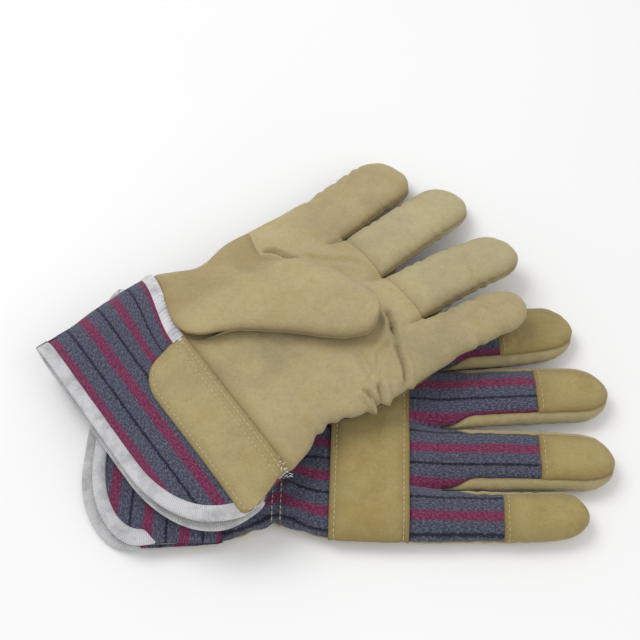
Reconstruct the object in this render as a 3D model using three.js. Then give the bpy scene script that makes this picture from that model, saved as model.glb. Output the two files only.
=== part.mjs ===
// A pair of leather and striped-cloth gardening gloves, laid one across the other.
// The right glove lies on its palm, with its back up. The left glove lies over it, palm up,
// with its thumb folded across the palm. Millimetres, +Z up, the table at Z = 0.
//
// A glove is drawn in its own frame: x runs across it, away from the thumb, and y runs along it,
// from the cuff to the fingertips, with y = 0 at the wrist seam. A third number, w, is the height
// over the seam that runs round the edge: positive on the back and negative on the palm.
import * as THREE from "three";

// ---- sheet thicknesses and clearances ----
const LEATHER = 1.6;
const CLOTH = 1.2;
const TAPE = 1.3;
const GAP = 0.35; // between pieces that are sewn together
const SEAM_SHARE = 0.012; // share of a half section that a panel leaves free at a seam
const STACK_GAP = 1.2; // between the two gloves
const DRAPE_FROM = 30; // where the upper glove starts to hang over the lower one's far edge
const DRAPE_TO = 150;
const SAG_AT = 4; // past the wrist seam
const SAG_WIDTH = 18;
const SAG_WITHIN = 47; // how far from the thumb-side edge the sag is complete

// ---- the hand ----
const HAND_LENGTH = 104; // wrist seam to finger roots
const ELASTIC_HALF = 59;
const WRIST_HALF = 68;
const ELASTIC_AT = 25;
const ELASTIC_WIDTH = 8;
const PALM_DEPTH = 6.5; // from the edge seam down to the palm's outer face
const BACK_DEPTH = 8; // from the edge seam up to the back's outer face
const BACK_CROWN = 1.5;
const EDGE_ROUND = 18; // how far in from the edge the hand is rounded
const LEATHER_WRAP = 0.12; // share of the back that the palm leather folds over, on the thumb side
const STRAP_FROM = 50;
const STRAP_TO = 88;

// ---- the fingers ----
const FINGERS = [
  { name: "index", width: 35, length: 74, cap: 40 },
  { name: "middle", width: 33.5, length: 84, cap: 37 },
  { name: "ring", width: 33.5, length: 84, cap: 37 },
  { name: "little", width: 27, length: 69, cap: 41 },
];
const FINGER_BACK_DEPTH = 8;
const FINGER_ROUND = 0.8; // share of a finger's half width that is rounded
const FINGER_TAPER = 0.93; // share of its width that a finger has at the tip
const TIP_SHARE = 1.15; // how far back the round end of a finger starts, in half widths
const TIP_FULLNESS = 2.3; // 2 is an ellipse, and more is squarer
const FINGER_SIDE_GAP = 0.8; // between neighbouring fingers at their roots
const KNUCKLE_HALF = FINGERS.reduce((sum, finger) => sum + finger.width, 0) / 2;
const GUSSET = 0.12; // share of a half section that the gusset takes, each side of the edge
const GUSSET_STOPS = 0.75; // how far short of the tip, in half widths
const KNUCKLE_GAP = 0.8;

// ---- the cuff ----
const CUFF_LENGTH = 71;
const CUFF_HALF = 74; // half the width at the hem
const CUFF_BACK_DEPTH = 6; // from the edge seam up to the back layer at the hem
const CUFF_PALM_DEPTH = PALM_DEPTH - GAP - LEATHER; // so that the patch lies level with the palm
const SLIT_HALF = 2.4; // half the height between the two layers at the slit
const CUFF_TOP = GAP; // from the wrist seam to the cuff's first row
const BINDING = 7; // width of the hem's tape
const BINDING_STEPS = 44;
const TAPE_RISE = 0.4; // how far the hem's tape stands off the cloth, on each face
const HEM_SLIT = 0.12; // share of half the hem's outline that runs up the slit
const HEM_CORNER = 0.5; // and the share at which the rounded corner ends
const TOP_BINDING = 6.5;
const TOP_BINDING_SPAN = [11 / 12, 1.4]; // round the thumb-side fold, up to the patch
const PATCH_LENGTH = 37;
const PATCH_CORNER = 12;
const PATCH_STRAIGHT = 0.72; // share of the patch's half width before its rounded corners
const PATCH_FROM = 1.41;
const PATCH_TO = 1.82;

// ---- the thumb ----
const THUMB_DEPTH = 6;
const THUMB_ROOT = 0.55; // share of that depth at the root
const THUMB_GAP = 0.9; // between the folded thumb and the palm
const THUMB_ROUND = 0.7;
const THUMB_TIP = 0.62; // share of its length at which the round end starts
const THUMB_FULLNESS = 2.2;
const THUMB_SPREAD = 22; // half width, about which an offset widens it

// ---- how each glove lies ----
// A thumb's two edges run from its root to its tip. Their x is measured from the hand's edge.
const RIGHT = {
  name: "right",
  side: 1, // back up
  at: [-53, 3],
  turn: -2, // degrees from +X to the hand's own length
  seamHeight: PALM_DEPTH,
  cuffDrop: 0,
  cuffSkew: 0, // how far the hem lies over towards the slit
  corner: [46, 30], // the rounded corner at the slit: across the cuff, and along it
  handRucked: 1, // share of the hand's length that it lies at
  rucked: [0.93, 1, 1, 1], // and of each finger's
  drape: 0, // how far the far side hangs below the near side
  curl: [0, 0, 0, 0], // degrees that each finger bends, root to tip
  spread: [-6, -5, -1.5, -1], // degrees away from the thumb
  wristSag: 0, // how far the wrist seam lies towards the hem, away from the thumb
  thumb: {
    folded: false,
    left: [
      [2.5, 12], [-15.5, 17], [-27.5, 32], [-36.5, 50], [-40.5, 66], [-38.5, 78], [-30.5, 83],
    ],
    right: [
      [-1, 60], [-7.5, 62], [-13.5, 66], [-18.5, 71], [-21.5, 76], [-25.5, 81], [-30.5, 83],
    ],
  },
};
const STACK_HEIGHT =
  RIGHT.seamHeight + 2 * (BACK_DEPTH + BACK_CROWN + GAP + LEATHER) + STACK_GAP;
const LEFT = {
  name: "left",
  side: -1, // palm up
  at: [-57, 19],
  turn: 36,
  seamHeight: STACK_HEIGHT,
  cuffDrop: 9,
  cuffSkew: 7,
  corner: [60, 48],
  handRucked: 0.92,
  rucked: [0.87, 0.95, 0.88, 0.72],
  drape: 13,
  curl: [-22, -18, -12, -5],
  spread: [-12, -9, 0.5, 8],
  wristSag: 9,
  thumb: {
    folded: true,
    left: [
      [3.5, 58], [21.5, 54], [45, 68], [62, 75], [75, 79], [84, 80], [90.5, 78],
    ],
    right: [
      [1.5, 8], [44.5, 4], [59.5, 17], [79.5, 37], [94.5, 53], [98.5, 66], [90.5, 78],
    ],
  },
};

const COLOURS = {
  leather: 0xc8b37c,
  cloth: 0x5f6078,
  tape: 0xdcdad6,
  elastic: 0xe6e2d8,
  lining: 0xe9e3d2,
};

const smooth = (x) => {
  const t = Math.min(1, Math.max(0, x));
  return t * t * (3 - 2 * t);
};
const mix = (a, b, t) => a + (b - a) * t;
const radians = THREE.MathUtils.degToRad;

// ---- sections ----

// Half a section, from x = +half (s = 0) over the top to x = -half (s = 1).
function halfSection(s, half, depth, round) {
  const quarter = 0.25;
  if (s > quarter && s < 1 - quarter) {
    return [(half - round) * (1 - (2 * (s - quarter)) / (1 - 2 * quarter)), depth];
  }
  const angle = ((s < 0.5 ? s : 1 - s) / quarter) * (Math.PI / 2);
  const x = half - round + round * Math.cos(angle);
  return [s < 0.5 ? x : -x, depth * Math.sin(angle)];
}

// The value of s at which half a section passes x.
function sectionAt(x, half, round) {
  const flat = half - round;
  if (Math.abs(x) <= flat) return 0.5 - (0.25 * x) / flat;
  const s = (Math.acos(Math.min(1, (Math.abs(x) - flat) / round)) / (Math.PI / 2)) * 0.25;
  return x > 0 ? s : 1 - s;
}

// A whole section: q from 0 to 1 is the back, and from 1 to 2 the palm side.
function section(q, half, back, palm, round) {
  if (q <= 1) return halfSection(q, half, back, round);
  const [x, w] = halfSection(q - 1, half, palm, round);
  return [-x, -w];
}

// ---- surfaces: each gives [x, y, w] for a place q round the section, a place along, and an offset ----

function handHalf(y) {
  const dip = (WRIST_HALF - ELASTIC_HALF) * Math.exp(-(((y - ELASTIC_AT) / 16) ** 2));
  return mix(WRIST_HALF, KNUCKLE_HALF, smooth(y / 60)) - dip;
}

function handSurface(glove) {
  return (q, y, offset) => {
    const half = handHalf(y) + offset;
    const [x, w] = section(q, half, BACK_DEPTH + offset, PALM_DEPTH + offset, EDGE_ROUND + offset);
    const crown = w > 0 ? BACK_CROWN * smooth(y / 30) * (1 - (x / half) ** 2) : 0;
    return [x, y * glove.handRucked, w + crown];
  };
}

// d is the distance from the wrist seam towards the hem.
function cuffSurface(glove) {
  return (q, d, offset) => {
    const open = Math.min(1, d / CUFF_LENGTH);
    const half = mix(WRIST_HALF, CUFF_HALF, open) + offset;
    const back = mix(BACK_DEPTH, CUFF_BACK_DEPTH, open) + offset;
    let [x, w] = section(q, half, back, CUFF_PALM_DEPTH + offset, EDGE_ROUND + offset);
    const slit = SLIT_HALF + offset;
    if (x > 0 && Math.abs(w) < slit) w = (q <= 1 ? 1 : -1) * slit;
    const along = d / CUFF_LENGTH;
    return [x + glove.cuffSkew * along, -d, w - glove.side * glove.cuffDrop * smooth(along)];
  };
}

function fingerSurface(glove, finger) {
  const bend = radians(finger.curl) / finger.length;
  const direction = radians(finger.spread);
  const tipFrom = finger.length - finger.half * TIP_SHARE;
  return (q, along, offset) => {
    const stretch = (finger.length + offset) / finger.length;
    const end = Math.max(0, (along - tipFrom) / (finger.length - tipFrom));
    const close = Math.sqrt(Math.max(0, 1 - end ** TIP_FULLNESS));
    const taper = mix(1, FINGER_TAPER, smooth(along / finger.length));
    const half = (finger.half * taper + offset) * close;
    const back = (FINGER_BACK_DEPTH + offset) * close;
    const palm = (PALM_DEPTH + offset) * close;
    const [x, w] = section(q, half, back, palm, FINGER_ROUND * half);
    const length = along * stretch;
    const angle = bend * length;
    const run = bend ? Math.sin(angle) / bend : length;
    const rise = bend ? (1 - Math.cos(angle)) / bend : 0;
    const forward = run + w * Math.sin(angle);
    const turned = direction * smooth(along / 20);
    const root = HAND_LENGTH * glove.handRucked + KNUCKLE_GAP;
    return [
      finger.x + forward * Math.sin(direction) + x * Math.cos(turned),
      root + forward * Math.cos(direction) - x * Math.sin(turned),
      w * Math.cos(angle) - rise,
    ];
  };
}

function thumbSurface(glove) {
  const edge = (points) =>
    new THREE.CatmullRomCurve3(
      points.map(([x, y]) => new THREE.Vector3(x - KNUCKLE_HALF, y, 0)),
      false,
      "centripetal",
    );
  const left = edge(glove.thumb.left);
  const right = edge(glove.thumb.right);
  const middle = (t) => left.getPoint(t).add(right.getPoint(t)).multiplyScalar(0.5);
  return (q, t, offset) => {
    const centre = middle(t);
    const across = right.getPoint(t).sub(left.getPoint(t)).multiplyScalar(0.5);
    const ahead = middle(Math.min(1, t + 0.02)).sub(middle(Math.min(0.98, t))).normalize();
    const half = Math.max(across.length(), 1e-4);
    const end = Math.max(0, (t - THUMB_TIP) / (1 - THUMB_TIP));
    const close = Math.sqrt(Math.max(0, 1 - end ** THUMB_FULLNESS));
    const thickness = THUMB_DEPTH * mix(THUMB_ROOT, 1, smooth(t / 0.4));
    const lift = glove.thumb.folded ? PALM_DEPTH + THUMB_GAP + thickness : PALM_DEPTH - thickness;
    const depth = (thickness + offset) * close;
    const grown = half * (1 + offset / THUMB_SPREAD);
    const [x, w] = section(q, grown, depth, depth, THUMB_ROUND * grown);
    const forward = offset * smooth((t - 0.5) / 0.5);
    centre.addScaledVector(across.normalize(), x).addScaledVector(ahead, forward);
    return [centre.x, centre.y, w - lift];
  };
}

// ---- solids ----

// The places where the columns of a panel stand, from one to another. Panels that lie on each other
// share them, so that their facets run parallel.
function columnsBetween(from, to, step) {
  const places = [from];
  for (let k = Math.floor(from / step + 1.3); k * step < to - 0.3 * step; k++) places.push(k * step);
  return [...places, to];
}

// A sheet of cloth or leather as a closed solid: its outer and inner faces, joined round the rim.
// Both faces are functions of (i, j) that give a point in the glove's own frame.
function sheet(columns, rows, outer, inner) {
  const points = [];
  const index = new Map();
  const place = (p) => {
    const key = p.map((v) => Math.round(v * 2000)).join();
    if (!index.has(key)) {
      index.set(key, points.length);
      points.push(p);
    }
    return index.get(key);
  };
  const grid = (face) =>
    Array.from({ length: columns + 1 }, (_, i) =>
      Array.from({ length: rows + 1 }, (_, j) => place(face(i, j))),
    );
  const out = grid(outer);
  const back = grid(inner);
  let triangles = [];
  const triangle = (a, b, c) => {
    if (a !== b && b !== c && a !== c) triangles.push([a, b, c]);
  };
  const quad = (a, b, c, d) => {
    triangle(a, b, c);
    triangle(a, c, d);
  };
  for (let i = 0; i < columns; i++) {
    for (let j = 0; j < rows; j++) {
      quad(out[i][j], out[i + 1][j], out[i + 1][j + 1], out[i][j + 1]);
      quad(back[i][j], back[i][j + 1], back[i + 1][j + 1], back[i + 1][j]);
    }
    quad(out[i][0], back[i][0], back[i + 1][0], out[i + 1][0]);
    quad(out[i][rows], out[i + 1][rows], back[i + 1][rows], back[i][rows]);
  }
  for (let j = 0; j < rows; j++) {
    quad(out[0][j], out[0][j + 1], back[0][j + 1], back[0][j]);
    quad(out[columns][j], back[columns][j], back[columns][j + 1], out[columns][j + 1]);
  }
  let volume = 0;
  const corner = triangles.map((t) => t.map((k) => new THREE.Vector3(...points[k])));
  for (const [a, b, c] of corner) volume += a.dot(b.clone().cross(c));
  if (volume < 0) triangles = triangles.map(([a, b, c]) => [a, c, b]);
  const geometry = new THREE.BufferGeometry();
  geometry.setAttribute("position", new THREE.Float32BufferAttribute(points.flat(), 3));
  geometry.setIndex(triangles.flat());
  geometry.computeVertexNormals();
  return geometry;
}

// Turns [x, y, w] into a point of the glove's group. The upper glove hangs down over the far edge of
// the lower one.
function standing(glove, [x, y, w]) {
  const turn = radians(glove.turn);
  const worldY = glove.at[1] + y * Math.sin(turn) - x * Math.cos(turn);
  const hang = glove.drape * smooth((worldY - DRAPE_FROM) / (DRAPE_TO - DRAPE_FROM));
  const nearWrist = Math.exp(-(((y + SAG_AT) / SAG_WIDTH) ** 2));
  const sag = glove.wristSag * smooth((x + WRIST_HALF) / SAG_WITHIN) * nearWrist;
  return [x, y - sag, glove.seamHeight + glove.side * w - hang];
}

// A stretch of a surface from q0 to q1 and from one place along it to another, thickness deep.
// until and from may be functions of q, for a rounded end.
function panel(glove, surface, cut) {
  const { q, along, thickness, rows, offset = 0, step = 1 / 12, bunch = (t) => t } = cut;
  const places = columnsBetween(q[0], q[1], step);
  const [from, until] = along.map((a) => (typeof a === "function" ? a : () => a));
  const point = (depth) => (i, j) => {
    const reached = mix(from(places[i]), until(places[i]), bunch(j / rows));
    return standing(glove, surface(places[i], reached, depth));
  };
  return sheet(places.length - 1, rows, point(offset), point(offset - thickness));
}

function mesh(name, material, geometry) {
  const made = new THREE.Mesh(
    geometry,
    new THREE.MeshStandardMaterial({ color: COLOURS[material], roughness: 0.9, metalness: 0 }),
  );
  made.name = name;
  return made;
}

// ---- the pieces of one glove ----

function handPieces(glove, name) {
  const surface = handSurface(glove);
  const wrapped = 1 - LEATHER_WRAP;
  const fromWrist = GAP + 0.3;
  const elastic = [ELASTIC_AT - ELASTIC_WIDTH / 2, ELASTIC_AT + ELASTIC_WIDTH / 2];
  return [
    mesh(name("palm"), "leather", panel(glove, surface, {
      q: [wrapped + SEAM_SHARE, 2 - SEAM_SHARE], along: [fromWrist, HAND_LENGTH],
      thickness: LEATHER, rows: 8,
    })),
    mesh(name("back_cloth"), "cloth", panel(glove, surface, {
      q: [SEAM_SHARE, wrapped - SEAM_SHARE], along: [fromWrist, HAND_LENGTH], thickness: CLOTH, rows: 8,
    })),
    mesh(name("knuckle_strap"), "leather", panel(glove, surface, {
      q: [2 * SEAM_SHARE, wrapped - SEAM_SHARE], along: [STRAP_FROM, STRAP_TO],
      offset: GAP + LEATHER, thickness: LEATHER, rows: 3,
    })),
    mesh(name("wrist_elastic"), "elastic", panel(glove, surface, {
      q: [0.26, 0.74], along: elastic, offset: -CLOTH - GAP, thickness: CLOTH, rows: 1,
    })),
    mesh(name("palm_lining"), "lining", panel(glove, surface, {
      q: [1.26, 1.74], along: [3, HAND_LENGTH - 3], offset: -LEATHER - GAP, thickness: CLOTH, rows: 4,
    })),
  ];
}

// The hem as two outlines, a tape's width apart: each gives [q, d] for k from 0 (top of the slit on
// the back) round the corner, along the hem, round the thumb-side fold, to 1 on the palm side.
function hemAt(glove, k, inset) {
  const back = k <= 0.5;
  const t = (back ? k : 1 - k) * 2;
  const [across, along] = glove.corner.map((size) => size - inset);
  const right = CUFF_HALF - inset;
  const straight = CUFF_LENGTH - inset - along;
  let x = right;
  let d = mix(CUFF_TOP, straight, t / HEM_SLIT);
  if (t > HEM_SLIT) {
    const turn = Math.min(1, (t - HEM_SLIT) / (HEM_CORNER - HEM_SLIT)) * (Math.PI / 2);
    x = right - across * (1 - Math.cos(turn));
    d = straight + along * Math.sin(turn);
  }
  let s = sectionAt(x, CUFF_HALF, EDGE_ROUND);
  if (t > HEM_CORNER) s = mix(s, 1, (t - HEM_CORNER) / (1 - HEM_CORNER));
  return [back ? s : 2 - s, d];
}

function cuffPieces(glove, name) {
  const surface = cuffSurface(glove);
  const inner = BINDING + 2 * GAP;
  const edge = sectionAt(CUFF_HALF - inner, CUFF_HALF, EDGE_ROUND);
  const [across, along] = glove.corner.map((size) => size - inner);
  const hem = (q) => {
    const x = section(q, CUFF_HALF, 1, 1, EDGE_ROUND)[0];
    const share = Math.min(1, Math.max(0, (x - CUFF_HALF + inner + across) / across));
    return CUFF_LENGTH - inner - along * (1 - Math.sqrt(1 - share * share));
  };
  const binding = (depth) => (i, j) => {
    const [q, d] = hemAt(glove, i / BINDING_STEPS, j ? BINDING : 0);
    return standing(glove, surface(q, d, depth));
  };
  const patchEnd = (q) => {
    const span = (PATCH_TO - PATCH_FROM) / 2;
    const reach = Math.abs(q - (PATCH_FROM + PATCH_TO) / 2) / span;
    const rounded = Math.max(0, (reach - PATCH_STRAIGHT) / (1 - PATCH_STRAIGHT));
    return PATCH_LENGTH - PATCH_CORNER * (1 - Math.sqrt(1 - Math.min(1, rounded) ** 2));
  };
  const tape = sheet(BINDING_STEPS, 1, binding(TAPE_RISE), binding(-CLOTH - TAPE_RISE));
  return [
    mesh(name("cuff"), "cloth", panel(glove, surface, {
      q: [edge, 2 - edge], along: [CUFF_TOP, hem], thickness: CLOTH, rows: 4,
    })),
    mesh(name("hem_binding"), "tape", tape),
    mesh(name("wrist_binding"), "tape", panel(glove, surface, {
      q: TOP_BINDING_SPAN, along: [CUFF_TOP, TOP_BINDING], offset: GAP + TAPE, thickness: TAPE,
      rows: 1,
    })),
    mesh(name("wrist_patch"), "leather", panel(glove, surface, {
      q: [PATCH_FROM, PATCH_TO], along: [CUFF_TOP, patchEnd], offset: GAP + LEATHER,
      thickness: LEATHER, rows: 4,
    })),
  ];
}

const towardsTip = (t) => Math.sin((t * Math.PI) / 2);

// A finger has a gusset on each side that faces another finger. On the index finger's thumb side
// its front folds over the back instead.
function fingerPieces(glove, finger, name) {
  const surface = fingerSurface(glove, finger);
  const thumbSide = finger.first ? -LEATHER_WRAP : GUSSET;
  const outerSide = finger.last ? 0 : GUSSET;
  const capFrom = finger.length - finger.cap;
  const sideEnd = finger.length - finger.half * GUSSET_STOPS;
  const shared = { thickness: LEATHER, step: 1 / 8 };
  const front = [1 + thumbSide + SEAM_SHARE, 2 - outerSide - SEAM_SHARE];
  const back = [outerSide + SEAM_SHARE, 1 - Math.abs(thumbSide) - SEAM_SHARE];
  const gusset = (at, side) => panel(glove, side, {
    ...shared, q: [at - GUSSET + SEAM_SHARE, at + GUSSET - SEAM_SHARE], along: [0, sideEnd], rows: 6,
  });
  const outwards = (q, along, offset) => surface(q < 0 ? q + 2 : q, along, offset);
  const pieces = [
    mesh(name("front"), "leather", panel(glove, surface, {
      ...shared, q: front, along: [0, finger.length], rows: 8, bunch: towardsTip,
    })),
    mesh(name("back"), "cloth", panel(glove, surface, {
      ...shared, q: back, along: [0, capFrom - GAP], thickness: CLOTH, rows: 4,
    })),
    mesh(name("cap"), "leather", panel(glove, surface, {
      ...shared, q: back, along: [capFrom, finger.length], rows: 6, bunch: towardsTip,
    })),
  ];
  if (!finger.first) pieces.push(mesh(name("gusset_thumbward"), "leather", gusset(1, surface)));
  if (!finger.last) pieces.push(mesh(name("gusset_outward"), "leather", gusset(0, outwards)));
  return pieces;
}

// The back of a thumb is the half that faces up, in both gloves.
function thumbPieces(glove, name) {
  const surface = thumbSurface(glove);
  const half = (from) => panel(glove, surface, {
    q: [from + SEAM_SHARE, from + 1 - SEAM_SHARE], along: [0, 1], thickness: LEATHER, step: 1 / 8,
    rows: 10, bunch: towardsTip,
  });
  return [
    mesh(name("back"), "leather", half(glove.thumb.folded ? 1 : 0)),
    mesh(name("front"), "leather", half(glove.thumb.folded ? 0 : 1)),
  ];
}

function makeGlove(glove) {
  const group = new THREE.Group();
  group.position.set(glove.at[0], glove.at[1], 0);
  group.rotation.z = radians(glove.turn - 90);
  let x = -KNUCKLE_HALF;
  FINGERS.forEach((f, i) => {
    const finger = {
      ...f,
      length: f.length * glove.rucked[i],
      x: x + f.width / 2,
      half: (f.width - FINGER_SIDE_GAP) / 2,
      curl: glove.curl[i],
      spread: glove.spread[i],
      first: i === 0,
      last: i === FINGERS.length - 1,
    };
    x += f.width;
    group.add(...fingerPieces(glove, finger, (piece) => `${glove.name}_${f.name}_${piece}`));
  });
  const named = (piece) => `${glove.name}_${piece}`;
  group.add(...handPieces(glove, named));
  group.add(...cuffPieces(glove, named));
  group.add(...thumbPieces(glove, (piece) => `${glove.name}_thumb_${piece}`));
  return group;
}

const pair = new THREE.Group();
pair.add(makeGlove(RIGHT), makeGlove(LEFT));
export default pair;
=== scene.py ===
import math
from functools import partial
import bmesh
import bpy
import numpy as np
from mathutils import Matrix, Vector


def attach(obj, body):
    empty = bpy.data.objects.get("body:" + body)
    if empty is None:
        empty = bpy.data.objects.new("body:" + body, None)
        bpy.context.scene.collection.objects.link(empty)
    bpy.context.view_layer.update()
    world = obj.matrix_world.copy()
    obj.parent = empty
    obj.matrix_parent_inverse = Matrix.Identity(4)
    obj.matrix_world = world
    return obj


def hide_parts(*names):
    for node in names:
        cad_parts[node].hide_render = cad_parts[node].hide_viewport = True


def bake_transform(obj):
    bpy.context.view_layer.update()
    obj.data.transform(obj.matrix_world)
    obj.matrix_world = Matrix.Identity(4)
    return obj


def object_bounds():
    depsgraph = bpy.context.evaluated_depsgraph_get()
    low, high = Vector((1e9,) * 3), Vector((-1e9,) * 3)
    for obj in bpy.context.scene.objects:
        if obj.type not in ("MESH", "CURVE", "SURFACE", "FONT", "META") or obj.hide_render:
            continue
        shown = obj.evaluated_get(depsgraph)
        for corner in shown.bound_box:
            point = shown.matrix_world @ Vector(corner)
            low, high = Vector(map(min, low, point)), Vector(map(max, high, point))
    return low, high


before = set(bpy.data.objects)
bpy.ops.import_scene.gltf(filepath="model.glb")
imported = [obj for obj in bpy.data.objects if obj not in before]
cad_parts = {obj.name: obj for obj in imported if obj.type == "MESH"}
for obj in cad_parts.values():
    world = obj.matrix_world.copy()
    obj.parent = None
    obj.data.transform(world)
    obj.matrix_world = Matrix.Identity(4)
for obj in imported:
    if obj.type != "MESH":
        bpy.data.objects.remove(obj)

CAD_BOX = [list(corner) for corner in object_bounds()]

# A pair of leather and striped-cloth gardening gloves. Sizes are in millimetres, as in the CAD model.
# A glove is drawn in its own frame: x across it, away from the thumb; y along it, with 0 at the wrist
# seam; w the height over the seam round its edge, positive on the back and negative on the palm.
# q goes once round a section: 0 at the little finger's edge, over the back to 1 at the thumb's edge,
# and on under the palm to 2. Each surface turns q, a place along it and an offset into x, y, w and u,
# where u is the cloth's own coordinate across the glove.

METRE = 1000

# The materials' thicknesses, and how far the sewn-on pieces stand off what is under them.
LEATHER = 1.5
CLOTH = 1.1
FACING_CLOTH = 0.5
TAPE = 0.9
STRAP_RISE = 1.7
PATCH_RISE = 1.8
RIBBED_TAPE_RISE = 1.1
CAP_RISE = 0.5

# The hand, from the wrist seam to the knuckles.
HAND_LENGTH = 104
WRIST_HALF = 68
ELASTIC_HALF = 59
ELASTIC_AT = 25
ELASTIC_REACH = 16
PALM_DEPTH = 6.5
BACK_DEPTH = 8
BACK_CROWN = 1.5
EDGE_ROUND = 18
WIDENS_TO = 60
GATHER = 1.8
LEATHER_WRAP = 0.12
STRAP = (50, 88)
STRAP_TOP = BACK_DEPTH + BACK_CROWN + 1.95
STRAP_SEAM = 2.6
LINING_DEPTH = LEATHER + 2.0

# The fingers: name, width, length, and length of the leather cap on the back.
FINGERS = (("index", 35, 74, 40), ("middle", 33.5, 84, 37), ("ring", 33.5, 84, 37), ("little", 27, 69, 41))
KNUCKLE_HALF = sum(width for _, width, _, _ in FINGERS) / 2
KNUCKLE_GAP = 0.8
FINGER_SIDE_GAP = 0.8
FINGER_TAPER = 0.93
FINGER_ROUND = 0.8
TIP_SHARE = 1.15
TIP_FULLNESS = 2.3
GUSSET = 0.12
GUSSET_POINT = 15
PALM_SEAM = 0.3
CAP_SEAM = 2.0

# The cuff, its tapes and the patch below the palm.
CUFF_LENGTH = 71
CUFF_HALF = 74
CUFF_BACK_DEPTH = 6
CUFF_PALM_DEPTH = 4.55
CUFF_WAVE = 1.1
SLIT_HALF = 2.4
HEM_SLIT = 0.12
HEM_CORNER = 0.5
BINDING = 7
TOP_BINDING = 5.8
PATCH_LENGTH = 38
PATCH_SPAN = (1.395, 1.93)
PATCH_CORNER = 13
PATCH_STRAIGHT = 0.72
SEAM_ROWS = (2.0, 5.6)
PATCH_SEAM = 2.4

# The thumb. Its panels' places run from 0 to 1 over a length of about 60 mm.
THUMB_DEPTH = 6
THUMB_ROOT = 0.55
THUMB_GAP = 0.7
THUMB_LENGTH = 60
THUMB_ROUND = 0.7
THUMB_TIP = 0.62
THUMB_FULLNESS = 2.2
THUMB_SPREAD = 22

# The upper glove lies on the lower one's strap, hangs over its far edge and sags at the wrist seam.
# Nothing goes under the table: what would is pressed flat within CONTACT.
STACK_GAP = 1.2
DRAPE_FROM = 30
DRAPE_TO = 150
SAG_AT = 4
SAG_WIDTH = 18
SAG_WITHIN = 47
CONTACT = 0.5

# The cloth's stripes and the sewing.
STRIPE_PERIOD = 17.7
CUFF_PERIOD = 19
NAVY_HALF = 0.6
DRILL_PITCH = 0.75
SEAM_WIDTH = 1.5
UNSEWN = 99.0
STITCH_PITCH = 2.8
STITCH_RADIUS = 0.3
FRAY_RADIUS = 0.17

# Each glove: side is 1 with its back up and -1 with its palm up; at and turn place its wrist on the
# table; seam is the height of its edge seam. rucked shortens each finger, as gathers do; curl bends
# them down, spread turns them and sway moves their tips. The cuff drops, skews and has its hem's corner
# and its two layers' shifts. little_wrap is the palm leather's share of the back at the little finger.
# thumb_left and thumb_right are the thumb's two edges, with x from the edge of the hand.
RIGHT = dict(
    name="right", side=1, at=(-53, 3), turn=-2, seam=PALM_DEPTH, seed=3,
    folded=False, drape=0, sag=0, hand_rucked=1, little_wrap=0,
    rucked=(0.93, 1, 1, 1), curl=(0, 0, 0, 0), spread=(-6, -5, -1.5, -1), sway=(-1.5, 1, 1.2, -1.5),
    cuff_drop=0, cuff_skew=0, cuff_phase=19, corner=(46, 30), layers=(-6, 0.5),
    thumb_left=((2.5, 12), (-15.5, 17), (-27.5, 32), (-36.5, 50), (-40.5, 66), (-38.5, 78), (-30.5, 83)),
    thumb_right=((-1, 60), (-7.5, 62), (-13.5, 66), (-18.5, 71), (-21.5, 76), (-25.5, 81), (-30.5, 83)),
)
LEFT = dict(
    name="left", side=-1, at=(-57, 19), turn=36, seam=PALM_DEPTH + 2 * STRAP_TOP + STACK_GAP, seed=8,
    folded=True, drape=13, sag=9, hand_rucked=0.92, little_wrap=0.08,
    rucked=(0.87, 0.95, 0.88, 0.72), curl=(-22, -18, -12, -5), spread=(-12, -9, 0.5, 8),
    sway=(0.5, -1, 1.2, -0.5),
    cuff_drop=9, cuff_skew=7, cuff_phase=5.5, corner=(60, 48), layers=(-2.5, -3),
    thumb_left=((0, 60), (21.5, 54), (45, 68), (62, 75), (75, 79), (84, 80), (90.5, 78)),
    thumb_right=((0, -0.5), (44.5, -0.5), (60, 16), (79.5, 37), (94.5, 53), (98.5, 66), (90.5, 78)),
)


# ---- curves of change ----

def smooth(x):
    t = np.clip(x, 0, 1)
    return t * t * (3 - 2 * t)


def mix(a, b, t):
    return a + (b - a) * t


def gauss(x, width):
    return np.exp(-((x / width) ** 2))


# ---- noise ----

def noise(x, y, size, seed=0):
    """Smooth value noise from -1 to 1, with features of the given size."""
    x, y = np.asarray(x, float) / size, np.asarray(y, float) / size
    i, j = np.floor(x), np.floor(y)
    u, v = smooth(x - i), smooth(y - j)

    def corner(di, dj):
        h = np.sin((i + di) * 127.1 + (j + dj) * 311.7 + seed * 74.7) * 43758.5453
        return 2 * (h - np.floor(h)) - 1

    return mix(mix(corner(0, 0), corner(1, 0), u), mix(corner(0, 1), corner(1, 1), u), v)


def fbm(x, y, size, seed=0, octaves=3):
    """Layers of noise, each half as large and half as strong as the one before."""
    return sum(noise(x, y, size / 2**k, seed + 13 * k) / 2**k for k in range(octaves))


# ---- sections and surfaces ----

def half_section(s, half, depth, round_):
    """x and height at s from 0 to 1 over one side: quarters of the way are round, and the middle is flat."""
    flat = (s > 0.25) & (s < 0.75)
    angle = np.where(s < 0.5, s, 1 - s) / 0.25 * (math.pi / 2)
    x_round = half - round_ + round_ * np.cos(angle)
    x = np.where(flat, (half - round_) * (1 - 4 * (s - 0.25)), np.where(s < 0.5, x_round, -x_round))
    return x, np.where(flat, depth, depth * np.sin(angle))


def section(q, half, back, palm, round_):
    """x and w at q round a whole section, with its own depth on the back and on the palm."""
    top = q <= 1
    x, w = half_section(np.where(top, q, q - 1), half, np.where(top, back, palm), round_)
    return np.where(top, x, -x), np.where(top, w, -w)


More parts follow.
